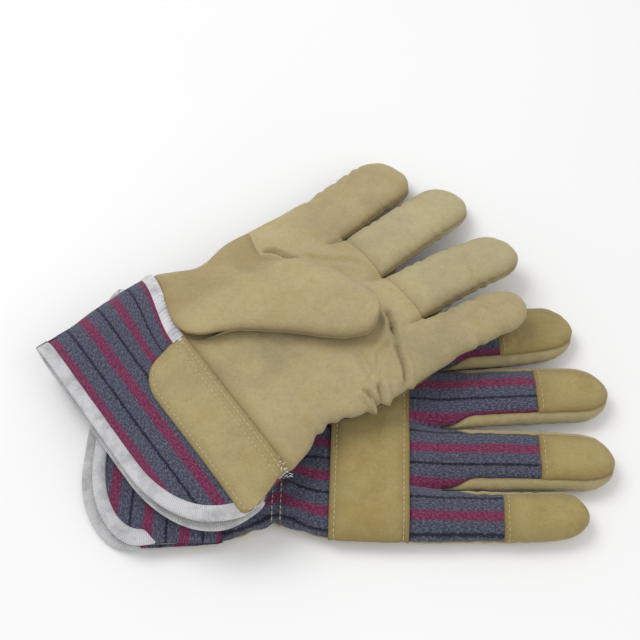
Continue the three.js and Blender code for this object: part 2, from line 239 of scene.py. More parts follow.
def section_at(x, half, round_):
    """The place over one side that has this x."""
    flat = half - round_
    turned = np.arccos(np.clip((np.abs(x) - flat) / round_, 0, 1)) / (math.pi / 2) * 0.25
    return np.where(np.abs(x) <= flat, 0.5 - 0.25 * x / flat, np.where(x > 0, turned, 1 - turned))


def hand_half(y):
    """Half the hand's width, drawn in by the elastic."""
    dip = (WRIST_HALF - ELASTIC_HALF) * gauss(y - ELASTIC_AT, ELASTIC_REACH)
    return mix(WRIST_HALF, KNUCKLE_HALF, smooth(y / WIDENS_TO)) - dip


def lobes(x):
    """The fingers' own rounded tops, across the hand at the knuckles."""
    height = np.zeros_like(x)
    left = -KNUCKLE_HALF
    for _, width, _, _ in FINGERS:
        half = width / 2
        away = np.clip((np.abs(x - left - half) - 0.2 * half) / (0.8 * half), 0, 1)
        inside = (x >= left) & (x < left + width)
        height = np.where(inside, np.sqrt(1 - away**2), height)
        left += width
    return height


def hand_surface(glove):
    """The palm and back of the hand, drawn in by the elastic and parting into fingers at the knuckles."""
    def surface(q, y, offset):
        q = np.where(q > 2, q - 2, q)
        half = hand_half(y) + offset
        x, w = section(q, half, BACK_DEPTH + offset, PALM_DEPTH + offset, EDGE_ROUND + offset)
        crown = np.where(w > 0, BACK_CROWN * smooth(y / 30) * (1 - (x / half) ** 2), 0)
        reach = np.where(w > 0, 30, 20)
        valley = smooth((y - HAND_LENGTH + reach) / reach) ** 1.6
        depth = np.where(w > 0, BACK_DEPTH, PALM_DEPTH) + offset
        lobed = np.sign(w) * depth * lobes(x * KNUCKLE_HALF / half)
        gathered = GATHER * noise(x, y, 9, glove["seed"]) * gauss(y - ELASTIC_AT, ELASTIC_REACH)
        u = x * KNUCKLE_HALF / half + gathered
        return x, y * glove["hand_rucked"], mix(w + crown, lobed, valley), u
    return surface


def cuff_surface(glove):
    """The gauntlet: it widens towards its hem, and its two layers part at the slit by the little finger."""
    def surface(q, d, offset):
        opened = np.clip(d / CUFF_LENGTH, 0, 1)
        half = mix(WRIST_HALF, CUFF_HALF, opened) + offset
        back = mix(BACK_DEPTH, CUFF_BACK_DEPTH, opened) + offset
        palm = mix(PALM_DEPTH, CUFF_PALM_DEPTH, smooth(d / 20)) + offset
        x, w = section(q, half, back, palm, EDGE_ROUND + offset)
        slit = SLIT_HALF * smooth(d / 25) + offset
        w = np.where((x > 0) & (np.abs(w) < slit), np.where(q <= 1, 1, -1) * slit, w)
        shift = mix(glove["layers"][0], glove["layers"][1], smooth((q - 0.95) / 0.2)) * opened
        drop = glove["side"] * glove["cuff_drop"] * smooth(d / CUFF_LENGTH)
        wave = CUFF_WAVE * noise(x, d + 40 * (q > 1), 34, glove["seed"]) * smooth(d / 40)
        return x + glove["cuff_skew"] * opened, -d - shift, w - drop + wave, x
    return surface


def squeezed(s, share):
    """Moves the seam at GUSSET to a share of its distance from the finger's edge."""
    near = s * share
    far = GUSSET * share + (s - GUSSET) / (0.5 - GUSSET) * (0.5 - GUSSET * share)
    return np.where(s < GUSSET, near, far)


def pointed_gussets(q, along, finger):
    """Moves the gussets' seams to the finger's edge: to a point at its root on the back, all along below."""
    gusset_above = (q > 0) & (q < 1) & np.where(q < 0.5, not finger["last"], not finger["first"])
    gusset_below = (q > 1) & (q < 2) & np.where(q < 1.5, not finger["first"], not finger["last"])
    above = squeezed(np.minimum(q, 1 - q), mix(0.08, 1, smooth(along / GUSSET_POINT)))
    below = squeezed(np.minimum(q - 1, 2 - q), PALM_SEAM)
    moved = np.where(gusset_above, np.where(q < 0.5, above, 1 - above), q)
    return np.where(gusset_below, np.where(q < 1.5, 1 + below, 2 - below), moved)


def finger_surface(glove, finger):
    """A finger that bends, turns and sways from its root, and closes to a round tip."""
    bend = math.radians(finger["curl"]) / finger["length"]
    direction = math.radians(finger["spread"])
    tip_from = finger["length"] - finger["half"] * TIP_SHARE

    def surface(q, along, offset):
        q = pointed_gussets(np.where(q > 2, q - 2, q), along, finger)
        end = np.maximum(0, (along - tip_from) / (finger["length"] - tip_from))
        close = np.sqrt(np.maximum(0, 1 - end**TIP_FULLNESS))
        taper = mix(1, FINGER_TAPER, smooth(along / finger["length"]))
        half = (finger["half"] * taper + offset) * close
        back, palm = (BACK_DEPTH + offset) * close, (PALM_DEPTH + offset) * close
        x, w = section(q, half, back, palm, FINGER_ROUND * half)
        length = along * (finger["length"] + offset) / finger["length"]
        angle = bend * length
        run = np.sin(angle) / bend if bend else length
        rise = (1 - np.cos(angle)) / bend if bend else 0 * length
        forward = run + w * np.sin(angle)
        turned = direction * smooth(along / 20)
        sway = finger["sway"] * smooth((along / finger["length"] - 0.35) / 0.65)
        return (
            finger["x"] + forward * math.sin(direction) + x * np.cos(turned) + sway,
            HAND_LENGTH * glove["hand_rucked"] + KNUCKLE_GAP * smooth(along / 3)
            + forward * math.cos(direction) - x * np.sin(turned),
            w * np.cos(angle) - rise,
            finger["x"] + x,
        )
    return surface


def curve_through(points, t):
    """Catmull-Rom curve through the points, at t from 0 to 1."""
    p = np.array(points, float)
    p = np.vstack([2 * p[0] - p[1], p, 2 * p[-1] - p[-2]])
    spans = len(points) - 1
    place = np.clip(np.asarray(t, float), 0, 1) * spans
    i = np.minimum(place.astype(int), spans - 1)
    f = place - i
    p0, p1, p2, p3 = (p[i + k] for k in range(4))
    f = f[..., None]
    square = (2 * p0 - 5 * p1 + 4 * p2 - p3) * f**2
    cube = (3 * p1 - p0 - 3 * p2 + p3) * f**3
    return 0.5 * (2 * p1 + (p2 - p0) * f + square + cube)


def thumb_frame(glove, t):
    """The thumb at t: its middle, the way from there to its right edge, and the way ahead."""
    edges = (glove["thumb_left"], glove["thumb_right"])
    left, right = (curve_through(edge, t) for edge in edges)
    later, sooner = np.minimum(t + 0.02, 1), np.minimum(t, 0.98)
    ahead = sum(curve_through(edge, later) - curve_through(edge, sooner) for edge in edges)
    ahead = ahead / np.maximum(np.linalg.norm(ahead, axis=-1, keepdims=True), 1e-6)
    return (left + right) / 2, (right - left) / 2, ahead


def thumb_surface(glove):
    """A flat thumb with a round tip. The folded one lies over the palm and grows out of the hand's edge."""
    def surface(q, t, offset):
        centre, across, ahead = thumb_frame(glove, t)
        half = np.maximum(np.hypot(across[..., 0], across[..., 1]), 1e-4)
        end = np.maximum(0, (t - THUMB_TIP) / (1 - THUMB_TIP))
        close = np.sqrt(np.maximum(0, 1 - end**THUMB_FULLNESS))
        thickness = THUMB_DEPTH * mix(THUMB_ROOT, 1, smooth(t / 0.4))
        joined = 1
        if glove["folded"]:
            line = centre[..., 1] + across[..., 1] * np.cos(np.clip(q - 1, 0, 1) * math.pi)
            joined = smooth(t / 0.2) * smooth((line + 1) / 14)
            thickness = mix(LEATHER + 0.1, thickness, joined)
        depth = (thickness + offset) * close
        grown = half * (1 + offset / THUMB_SPREAD)
        x, w = section(q, grown, depth, depth, THUMB_ROUND * grown)
        push = offset * smooth((t - 0.5) / 0.5)
        px = centre[..., 0] + across[..., 0] / half * x + ahead[..., 0] * push - KNUCKLE_HALF
        py = centre[..., 1] + across[..., 1] / half * x + ahead[..., 1] * push
        if not glove["folded"]:
            return px, py, w - PALM_DEPTH + thickness, x
        half_here = hand_half(py / glove["hand_rucked"])
        px = px - (half_here - KNUCKLE_HALF) * (1 - smooth(t / 0.3))
        inward = np.clip((np.abs(px) - half_here + EDGE_ROUND) / EDGE_ROUND, 0, 1)
        palm = mix(PALM_DEPTH * np.sqrt(1 - inward**2), PALM_DEPTH, smooth(t / 0.4))
        return px, py, w - palm - (THUMB_GAP + thickness) * joined, x
    return surface


def standing(glove, x, y, w):
    """A point of the glove's own frame, in metres on the table. The upper glove hangs over the lower."""
    turn = math.radians(glove["turn"])
    world_x = glove["at"][0] + x * math.sin(turn) + y * math.cos(turn)
    world_y = glove["at"][1] - x * math.cos(turn) + y * math.sin(turn)
    hang = glove["drape"] * smooth((world_y - DRAPE_FROM) / (DRAPE_TO - DRAPE_FROM))
    sag = glove["sag"] * smooth((x + WRIST_HALF) / SAG_WITHIN) * gauss(y + SAG_AT, SAG_WIDTH)
    world_x = world_x - sag * math.cos(turn)
    world_y = world_y - sag * math.sin(turn)
    height = glove["seam"] + glove["side"] * w - hang
    pressed = CONTACT * np.exp(np.minimum(height, CONTACT) / CONTACT - 1)
    height = np.where(height < CONTACT, pressed, height)
    return np.stack([world_x, world_y, height], axis=-1) / METRE


# ---- meshes ----

def add_object(name, verts, faces, material, cloth=None, sharp=40):
    """A smooth mesh object. cloth is each point's place on the cloth and its distance from a seam, which the
    panels cut short in hollows to paint shade there.
    """
    mesh = bpy.data.meshes.new(name)
    mesh.from_pydata([tuple(v) for v in verts], [], [tuple(int(k) for k in f) for f in faces])
    if cloth is not None:
        layer = mesh.attributes.new("cloth", "FLOAT_VECTOR", "POINT")
        layer.data.foreach_set("vector", np.asarray(cloth, np.float32).ravel())
    work = bmesh.new()
    work.from_mesh(mesh)
    bmesh.ops.remove_doubles(work, verts=work.verts, dist=2e-6)
    bmesh.ops.dissolve_degenerate(work, edges=work.edges, dist=2e-6)
    bmesh.ops.recalc_face_normals(work, faces=work.faces)
    work.to_mesh(mesh)
    work.free()
    for polygon in mesh.polygons:
        polygon.use_smooth = True
    mesh.set_sharp_from_angle(angle=math.radians(sharp))
    mesh.materials.append(material)
    obj = bpy.data.objects.new(name, mesh)
    bpy.context.collection.objects.link(obj)
    return obj


def grid_faces(columns, rows, start=0, wrap=False):
    i, j = np.meshgrid(np.arange(columns if wrap else columns - 1), np.arange(rows - 1), indexing="ij")
    k = (i + 1) % columns
    corners = [i * rows + j, k * rows + j, k * rows + j + 1, i * rows + j + 1]
    return np.stack(corners, axis=-1).reshape(-1, 4) + start


def rim_faces(columns, rows):
    """Faces that join the edges of a grid to those of a second grid after it."""
    loop = [(i, 0) for i in range(columns)]
    loop += [(columns - 1, j) for j in range(1, rows)]
    loop += [(i, rows - 1) for i in range(columns - 2, -1, -1)]
    loop += [(0, j) for j in range(rows - 2, 0, -1)]
    ids = np.array([i * rows + j for i, j in loop])
    ahead = np.roll(ids, -1)
    count = columns * rows
    return np.stack([ids, ahead, ahead + count, ids + count], axis=-1)


def even_places(surface, q0, q1, along, step):
    """Places round the section from q0 to q1, evenly spaced over its length."""
    q = np.linspace(q0, q1, 500)
    x, y, w, _ = surface(q, np.full_like(q, along), 0.0)
    length = np.concatenate([[0], np.cumsum(np.sqrt(np.diff(x) ** 2 + np.diff(w) ** 2))])
    count = max(4, int(length[-1] / step))
    return np.interp(np.linspace(0, length[-1], count + 1), length, q)


def lengths(points, axis):
    """Distance run along one axis of a grid of points, in millimetres."""
    steps = np.linalg.norm(np.diff(points, axis=axis), axis=-1) * METRE
    pad = [(0, 0), (0, 0)]
    pad[axis] = (1, 0)
    return np.cumsum(np.pad(steps, pad), axis=axis)


def panel_places(surface, q, along, at, step, bunch):
    """Grids of q and of places along the glove that cover a panel."""
    places = even_places(surface, q[0], q[1], at, step)
    first, last = (
        edge if callable(edge) else (lambda p, edge=edge: np.full_like(p, edge)) for edge in along)
    span = float(np.max(np.abs(last(places) - first(places))))
    length = span * THUMB_LENGTH if span <= 1 else span
    t = np.linspace(0, 1, max(4, int(length / step)) + 1)
    if bunch:
        t = bunch(t)
    round_, onward = np.meshgrid(places, t, indexing="ij")
    return round_, mix(first(places)[:, None], last(places)[:, None], onward)


def seam_distance(across, onward, seams):
    """Distance in millimetres from each point of a panel to its nearest sewn edge."""
    distances = (across, across[-1:, :] - across, onward, onward[:, -1:] - onward)
    sewn = [distance for distance, seam in zip(distances, seams) if seam]
    return np.minimum.reduce([np.full_like(across, UNSEWN), *sewn])


def panel(glove, surface, name, node, stuff, q, along, at, offset=0.0, step=1.0, seams=(1, 1, 1, 1),
          relief=None, bunch=None, dip=0.7, stripes=None):
    """A sheet over a stretch of a surface, with its sewn edges drawn darker, part wear and part painted
    shade, and painted shade in its hollows.
    """
    material, slot, thickness = stuff
    round_, placed = panel_places(surface, q, along, at, step, bunch)
    x, y, w, u = surface(round_, placed, np.full_like(round_, offset))
    base = standing(glove, x, y, w)
    across, onward = lengths(base, 0), lengths(base, 1)
    edge = seam_distance(across, onward, seams)
    rise = -dip * gauss(edge, SEAM_WIDTH) * (1 + 0.2 * noise(across + y, onward, 4.0, glove["seed"]))
    if relief:
        hollow = relief(x, y, round_)
        rise = rise + hollow
        # Painted shade: hollows count as lying by a seam, so the materials darken them.
        edge = np.minimum(edge, 9 * smooth((hollow + 2.2) / 1.3))
    sides = []
    for depth in (rise + offset, rise * 0.6 + offset - thickness):
        x, y, w, _ = surface(round_, placed, depth)
        sides.append(standing(glove, x, y, w))
    columns, rows = round_.shape
    faces = np.concatenate([
        grid_faces(columns, rows),
        grid_faces(columns, rows, columns * rows)[:, ::-1],
        rim_faces(columns, rows),
    ])
    crosswise, lengthwise = stripes(u, placed) if stripes else (u, onward)
    cloth = np.stack([crosswise, lengthwise, edge], axis=-1).reshape(-1, 3)
    verts = np.stack(sides).reshape(-1, 3)
    obj = add_object(f"{glove['name']}_{name}", verts, faces, material, np.concatenate([cloth, cloth]))
    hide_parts(f"{glove['name']}_{node}")
    return obj


def tube(points, radius, sides=6):
    """Vertices and faces of a closed round tube through the points, pinched at its ends."""
    p = np.asarray(points, float)
    direction = np.gradient(p, axis=0)
    direction /= np.linalg.norm(direction, axis=1, keepdims=True) + 1e-12
    guide = np.array([0, 0, 1.0]) if abs(direction[0, 2]) < 0.9 else np.array([1.0, 0, 0])
    one = np.cross(direction, guide)
    one /= np.linalg.norm(one, axis=1, keepdims=True) + 1e-12
    two = np.cross(direction, one)
    angle = np.linspace(0, 2 * math.pi, sides, endpoint=False)
    r = np.asarray(radius, float) * np.ones(len(p))
    ring = p[:, None] + r[:, None, None] * (
        one[:, None] * np.cos(angle)[None, :, None] + two[:, None] * np.sin(angle)[None, :, None])
    n = len(p)
    faces = grid_faces(n, sides + 1)
    faces = faces // (sides + 1) * sides + faces % (sides + 1) % sides
    caps = [tuple(range(sides))[::-1], tuple(range((n - 1) * sides, n * sides))]
    return ring.reshape(-1, 3), faces, caps


def joined_tubes(tubes):
    """One list of vertices and one of faces for many tubes."""
    verts, faces, start = [], [], 0
    for points, quads, caps in tubes:
        verts.append(points)
        faces += [tuple(i + start for i in face) for face in [*quads, *caps]]
        start += len(points)
    return np.concatenate(verts), faces


def stitches(glove, name, path, pitch=STITCH_PITCH, radius=STITCH_RADIUS):
    """A row of stitches along path(t), which gives a point of the glove's own frame."""
    t = np.linspace(0, 1, 600)
    points = standing(glove, *path(t))
    steps = np.linalg.norm(np.diff(points, axis=0), axis=1)
    run = np.concatenate([[0], np.cumsum(steps)]) * METRE
    count = max(2, int(run[-1] / pitch))
    rng = np.random.default_rng(1)
    profile = np.array([0.25, 0.9, 1, 0.9, 0.25]) * radius / METRE
    sink = np.array([0.45, 0.05, 0, 0.05, 0.45]) * radius / METRE
    tubes = []
    for k in range(count):
        middle = (k + 0.5 + rng.uniform(-0.06, 0.06)) * run[-1] / count
        reach = pitch * rng.uniform(0.36, 0.42)
        places = np.interp(np.linspace(middle - reach, middle + reach, 5), run, t)
        line = standing(glove, *path(places))
        line[:, 2] -= sink
        tubes.append(tube(line, profile))
    obj = add_object(f"{glove['name']}_{name}", *joined_tubes(tubes), THREAD, sharp=60)
    return obj


# ---- materials ----

class Nodes:
    """Small helper that adds and links the nodes of one material."""

    def __init__(self, name):
        self.material = bpy.data.materials.new(name)
        self.material.use_nodes = True
        self.tree = self.material.node_tree
        self.shader = self.tree.nodes["Principled BSDF"]

    def add(self, kind, inputs=None, **settings):
        node = self.tree.nodes.new(kind)
        for key, value in settings.items():
            setattr(node, key, value)
        for key, value in (inputs or {}).items():
            self.put(value, node.inputs[key])
        return node

    def put(self, value, socket):
        if isinstance(value, bpy.types.NodeSocket):
            self.tree.links.new(value, socket)
        else:
            socket.default_value = value

    def math(self, operation, a, b=0.0, clamp=False):
        return self.add("ShaderNodeMath", {0: a, 1: b}, operation=operation, use_clamp=clamp).outputs[0]

    def noise(self, vector, scale, detail=2.0, roughness=0.5):
        node = self.add("ShaderNodeTexNoise", {"Vector": vector, "Scale": scale, "Detail": detail,
                                               "Roughness": roughness})
        return node.outputs["Fac"]

    def ramp(self, factor, stops, mode="LINEAR"):
        node = self.add("ShaderNodeValToRGB", {"Fac": factor})
        node.color_ramp.interpolation = mode
        elements = node.color_ramp.elements
        while len(elements) < len(stops):
            elements.new(0.5)
        for element, (place, colour) in zip(elements, stops):
            element.position = place
            element.color = (*colour, 1)
        return node.outputs["Color"]

    def blend(self, kind, factor, a, b):
        node = self.add("ShaderNodeMix", data_type="RGBA", blend_type=kind)
        for key, value in (("Factor_Float", factor), ("A_Color", a), ("B_Color", b)):
            socket = next(s for s in node.inputs if s.identifier == key)
            self.put(value if isinstance(value, (float, bpy.types.NodeSocket)) else (*value, 1), socket)
        return next(s for s in node.outputs if s.identifier == "Result_Color")

    def bump(self, height, distance, strength=1.0, normal=None):
        inputs = {"Height": height, "Distance": distance, "Strength": strength}
        if normal is not None:
            inputs["Normal"] = normal
        return self.add("ShaderNodeBump", inputs).outputs["Normal"]

    def finish(self, colour, normal=None, roughness=0.9, sheen=0.0, sheen_tint=(1, 1, 1)):
        self.put(colour, self.shader.inputs["Base Color"])
        self.shader.inputs["Roughness"].default_value = roughness
        self.shader.inputs["Specular IOR Level"].default_value = 0.2
        self.shader.inputs["Sheen Weight"].default_value = sheen
        self.shader.inputs["Sheen Roughness"].default_value = 0.6
        self.shader.inputs["Sheen Tint"].default_value = (*sheen_tint, 1)
        if normal is not None:
            self.put(normal, self.shader.inputs["Normal"])
        return self.material


def rgb(r, g, b):
    """A display colour from 0 to 255, as linear light."""
    return tuple(((c / 255 + 0.055) / 1.055) ** 2.4 if c > 10 else c / 255 / 12.92 for c in (r, g, b))


def suede(name, colour, golden, share, stain=None):
    """Split leather, blotched with a golden colour over a share of it.

    stain is a colour, and how far it reaches from the panel's start.
    """
    n = Nodes(name)
    place = n.add("ShaderNodeTexCoord").outputs["Object"]
    cloth = n.add("ShaderNodeAttribute", attribute_name="cloth").outputs["Vector"]
    axes = n.add("ShaderNodeSeparateXYZ", {0: cloth})
    blotches = n.noise(place, 26.0, 5.0, 0.6)
    patches = n.noise(place, 48.0, 4.0, 0.65)
    speckle = n.noise(place, 320.0, 3.0, 0.7)
    nap = n.noise(place, 900.0, 4.0, 0.7)
    grain = n.noise(place, 2600.0, 2.0, 0.6)
    shades = [(0.30, 0.91), (0.48, 1.0), (0.68, 1.05)]
    base = n.ramp(blotches, [(at, rgb(*(c * shade for c in colour))) for at, shade in shades])
    spread = n.ramp(patches, [(0.46, (0, 0, 0)), (0.66, (1, 1, 1))])
    mixed = n.blend("MIX", n.math("MULTIPLY", spread, share), base, rgb(*golden))
    if stain:
        uneven = n.math("MULTIPLY", n.math("SUBTRACT", patches, 0.5), 2.6)
        stain_colour, reach = stain
        from_root = n.math("ADD", n.math("DIVIDE", axes.outputs["Y"], reach), uneven)
        stained = n.ramp(from_root, [(0.0, (0.6,) * 3), (0.4, (0.38,) * 3), (0.9, (0, 0, 0))])
        mixed = n.blend("MIX", stained, mixed, rgb(*stain_colour))
    flecks = n.ramp(speckle, [(0.28, (0.86, 0.85, 0.83)), (0.5, (1, 1, 1)), (0.72, (1.05, 1.04, 1.03))])
    mixed = n.blend("MULTIPLY", 0.5, mixed, flecks)
    fibres = n.ramp(nap, [(0.3, (0.80, 0.79, 0.76)), (0.52, (1, 1, 1))])
    mixed = n.blend("MULTIPLY", 0.7, mixed, fibres)
    # The leather is painted darker towards its sewn edges, part wear and part painted shade, and darker in
    # its hollows and creases, which is painted shade.
    from_seam_or_hollow = n.math("DIVIDE", axes.outputs["Z"], 8.0, clamp=True)
    seam_wear_and_hollow_shade = n.ramp(from_seam_or_hollow, [(0.0, (1, 1, 1)), (0.16, (0.4,) * 3), (0.9, (0, 0, 0))])
    mixed = n.blend("MULTIPLY", seam_wear_and_hollow_shade, mixed, (0.62, 0.55, 0.43))
    rough = n.bump(grain, 0.00025, 0.5)
    rough = n.bump(nap, 0.0006, 0.55, rough)
    rough = n.bump(patches, 0.0016, 0.6, rough)
    return n.finish(mixed, rough, 0.95, 0.2, (1.0, 0.95, 0.82))


def striped(name, period, phase, navy_at):
    """Cotton drill with a crimson band and a thin navy line in each period of its first coordinate."""
    n = Nodes(name)
    cloth = n.add("ShaderNodeAttribute", attribute_name="cloth").outputs["Vector"]
    axes = n.add("ShaderNodeSeparateXYZ", {0: cloth})
    yarn_map = n.add("ShaderNodeMapping", {"Vector": cloth, "Scale": (1.0, 0.45, 0.0)})
    yarn = n.noise(yarn_map.outputs[0], 1.4, 3.0, 0.7)
    flat_map = n.add("ShaderNodeMapping", {"Vector": cloth, "Scale": (1.0, 1.0, 0.0)})
    fuzz = n.noise(flat_map.outputs[0], 0.9, 3.0, 0.7)

    wobble = n.math("MULTIPLY", n.math("SUBTRACT", fuzz, 0.5), 3.4)
    across = n.math("ADD", axes.outputs["X"], wobble)
    turn = n.math("DIVIDE", n.math("SUBTRACT", across, phase), period)
    turn = n.math("FRACT", n.math("ADD", turn, 100.5))
    ground = n.ramp(yarn, [(0.36, rgb(47, 49, 66)), (0.5, rgb(70, 73, 92)), (0.63, rgb(106, 109, 122))])
    crimson = n.ramp(yarn, [(0.36, rgb(78, 22, 52)), (0.5, rgb(122, 32, 76)), (0.64, rgb(132, 72, 100))])
    band = n.ramp(turn, [(0.33, (0, 0, 0)), (0.39, (1, 1, 1)), (0.61, (1, 1, 1)), (0.67, (0, 0, 0))])
    beside = n.math("FRACT", n.math("ADD", turn, 1.5 - navy_at))
    line = n.math("ABSOLUTE", n.math("SUBTRACT", beside, 0.5))
    half_line = NAVY_HALF / period
    line = n.ramp(line, [(half_line * 0.75, (1, 1, 1)), (half_line * 1.5, (0, 0, 0))])
    colour = n.blend("MIX", band, ground, crimson)
    colour = n.blend("MIX", line, colour, rgb(20, 21, 38))

    waves = 2 * math.pi / DRILL_PITCH
    columns, rows = (n.math("SINE", n.math("MULTIPLY", axes.outputs[axis], waves)) for axis in "XY")
    weave = n.math("MULTIPLY", columns, rows)
    shade = n.math("ADD", n.math("MULTIPLY", weave, 0.25), fuzz)
    shade = n.ramp(shade, [(0.2, (0.66, 0.66, 0.68)), (0.62, (1, 1, 1))])
    colour = n.blend("MULTIPLY", 0.8, colour, shade)
    # The drill is painted darker towards its sewn edges, part wear and part painted shade, and darker in its
    # deep folds, which is painted shade.
    wear_and_fold_shade = n.math("DIVIDE", axes.outputs["Z"], 2.5, clamp=True)
    colour = n.blend("MULTIPLY", n.math("SUBTRACT", 1.0, wear_and_fold_shade), colour, (0.5, 0.5, 0.5))
    bump = n.bump(weave, 0.00018, 0.6)
    bump = n.bump(fuzz, 0.0004, 0.5, bump)
    return n.finish(colour, bump, 0.92, 0.2, (0.85, 0.88, 1.0))


def tape(name, colour, pitch):
    """Soiled white cotton tape with ribs across it."""
    n = Nodes(name)
    cloth = n.add("ShaderNodeAttribute", attribute_name="cloth").outputs["Vector"]
    axes = n.add("ShaderNodeSeparateXYZ", {0: cloth})
    place = n.add("ShaderNodeTexCoord").outputs["Object"]
    soil = n.noise(place, 120.0, 4.0, 0.6)
    ribs = n.math("SINE", n.math("MULTIPLY", axes.outputs["X"], 2 * math.pi / pitch))
    light = n.ramp(soil, [(0.3, rgb(*(c * 0.84 for c in colour))), (0.55, rgb(*colour))])
    height = n.math("ADD", n.math("MULTIPLY", ribs, 0.5), 0.5)
    shade = n.ramp(height, [(0.0, (0.8, 0.8, 0.8)), (0.6, (1, 1, 1))])
    bump = n.bump(ribs, 0.0002, 0.7)
    bump = n.bump(soil, 0.0005, 0.3, bump)
    return n.finish(n.blend("MULTIPLY", 0.6, light, shade), bump, 0.85, 0.2)


def plain_cloth(name, colour, scale=1400.0):
    """A plain fuzzy cloth or thread of one colour."""
    n = Nodes(name)
    place = n.add("ShaderNodeTexCoord").outputs["Object"]
    fuzz = n.noise(place, scale, 3.0, 0.6)
    light = n.ramp(fuzz, [(0.3, rgb(*(c * 0.8 for c in colour))), (0.6, rgb(*colour))])
    return n.finish(light, n.bump(fuzz, 0.0003, 0.6), 0.9, 0.2)


def pale_floor():
    n = Nodes("pale_floor")
    place = n.add("ShaderNodeTexCoord").outputs["Object"]
    light = n.ramp(n.noise(place, 3.0, 2.0), [(0.3, (0.86, 0.86, 0.86)), (0.7, (0.89, 0.89, 0.89))])
    return n.finish(light, None, 0.9)


def leather(name, *tones, **stained):
    return suede(name, *tones, **stained), "leather", LEATHER


# What the sheets are cut from: a material, a slot name for it, and a thickness.
PALM_TONES = ((171, 157, 117), (164, 140, 88), 0.35)
LEATHER_PALM = leather("suede_palm", *PALM_TONES)
LEATHER_STAINED = leather("suede_stained", *PALM_TONES, stain=((149, 126, 76), 62))
LEATHER_PATCH = leather("suede_patch", (166, 151, 109), (158, 134, 82), 0.4)
LEATHER_LIGHT = leather("suede_pale", (174, 162, 124), (170, 154, 108), 0.25)
LEATHER_GOLD = leather("suede_golden", (157, 141, 92), (146, 122, 68), 0.5)
BACK_STRIPES = striped("striped_drill_back", STRIPE_PERIOD, 0.5, 0.98), "cloth", CLOTH
CUFF_STRIPES = striped("striped_drill_cuff", CUFF_PERIOD, 0.0, 0.0), "cloth", CLOTH
RIBBED_TAPE = tape("ribbed_tape", (210, 210, 212), 2.2), "tape", TAPE
UNDYED = plain_cloth("cotton_lining", (232, 226, 206))
LINING = UNDYED, "lining", CLOTH
FACING = UNDYED, "lining", FACING_CLOTH

# The tape over the hem, the threads and the elastic are materials only.
WHITE_TAPE = tape("binding_tape", (206, 206, 208), 1.1)
THREAD = plain_cloth("sewing_thread", (196, 184, 142), 3000.0)
WHITE_THREAD = plain_cloth("frayed_thread", (236, 234, 228), 3000.0)
ELASTIC = plain_cloth("braided_elastic", (222, 216, 202), 900.0)


# ---- folds and creases ----

def crease(x, y, start, end, width, depth):
    """A valley from start to end with a soft ridge on each side."""
    (x0, y0), (x1, y1) = start, end
    length = math.hypot(x1 - x0, y1 - y0)
    along = ((x - x0) * (x1 - x0) + (y - y0) * (y1 - y0)) / length
    wander = 1.2 * noise(along, 0 * along, 9, x0 + y0)
    aside = ((x - x0) * (y1 - y0) - (y - y0) * (x1 - x0)) / length + wander
    ends = smooth((along + width) / (3 * width)) * smooth((length - along + width) / (3 * width))
    return 1.3 * depth * ends * (0.6 * gauss(np.abs(aside) - 2 * width, width) - gauss(aside, 0.8 * width))


# Start, end, width and depth of the creases in the upper glove's palm. The last two run along its thumb.
LEFT_CREASES = (
    ((24, 90), (64, 70), 1.5, 1.8),
    ((30, 92), (52, 58), 1.8, 0.9),
    ((54, 48), (74, 52), 1.5, 2.4),
    ((56, 60), (74, 47), 1.5, 2.0),
    ((36, 62), (66, 53), 2.6, 1.1),
    ((44, 44), (72, 46), 2.4, 0.9),
    ((-30, 74), (-6, 100), 2.2, 0.9),
    ((20, 16), (62, 44), 4.0, 0.7),
    ((44, 8), (66, 22), 2.4, 0.9),
    ((-46, 60), (-20, 75), 1.6, 1.9),
    ((-20, 75), (14, 88), 1.6, 1.6),
)


def palm_relief(glove):
    """Soft unevenness, gathers at the elastic's ends and, on the upper glove, its creases."""
    def relief(x, y, q):
        rise = 0.5 * fbm(x, y, 26, glove["seed"]) + 0.16 * fbm(x, y, 5, glove["seed"] + 5)
        rise += 0.5 * gauss(y - 3, 4) * noise(x, y, 5, glove["seed"] + 2)
        gather = gauss(y - ELASTIC_AT, 15) * smooth((np.abs(x) - 36) / 22)
        rise += 0.8 * gather * np.sin(y * 0.75 + noise(x, y, 12, 3))
        if glove["folded"]:
            for start, end, width, depth in LEFT_CREASES:
                rise = rise + crease(x, y / glove["hand_rucked"], start, end, width, depth)
        return rise
    return relief


def back_relief(glove):
    """Folds that the elastic gathers, smoothed where the strap lies over them."""
    def relief(x, y, q):
        seed = glove["seed"]
        rise = 0.45 * fbm(x, y, 24, seed + 1) + 0.12 * fbm(x, y, 5, seed + 6)
        pull = smooth((y + 2) / 10) * gauss(np.maximum(0, np.abs(y - ELASTIC_AT) - 3), 13)
        folds = np.sin(x * 2 * math.pi / 9.5 + 2.2 * noise(x, y, 22, seed + 3))
        rise += 1.25 * pull * (0.4 + folds) * (1 - 0.65 * gauss(y - ELASTIC_AT, 3.2))
        rise -= 0.9 * gauss(y - ELASTIC_AT, 3.4)
        under = smooth((y - STRAP[0] - 1) / 3) * smooth((STRAP[1] - 1 - y) / 3)
        return rise * (1 - 0.6 * under)
    return relief


def strap_relief(glove):
    """Raised lips outside the two stitched rows, and ends that tuck into the side seams."""
    def relief(x, y, q):
        rows = gauss(y - STRAP[0] - STRAP_SEAM, 1.0) + gauss(y - STRAP[1] + STRAP_SEAM, 1.0)
        lip = gauss(y - STRAP[0], 1.3) + gauss(y - STRAP[1], 1.3)
        tucked = smooth((np.abs(x) - KNUCKLE_HALF + 9) / 9)
        wavy = 0.45 * fbm(x, y, 22, glove["seed"] + 1) + 0.12 * fbm(x, y, 5, 9)
        return wavy - 0.5 * rows + 0.35 * lip - 0.9 * tucked
    return relief


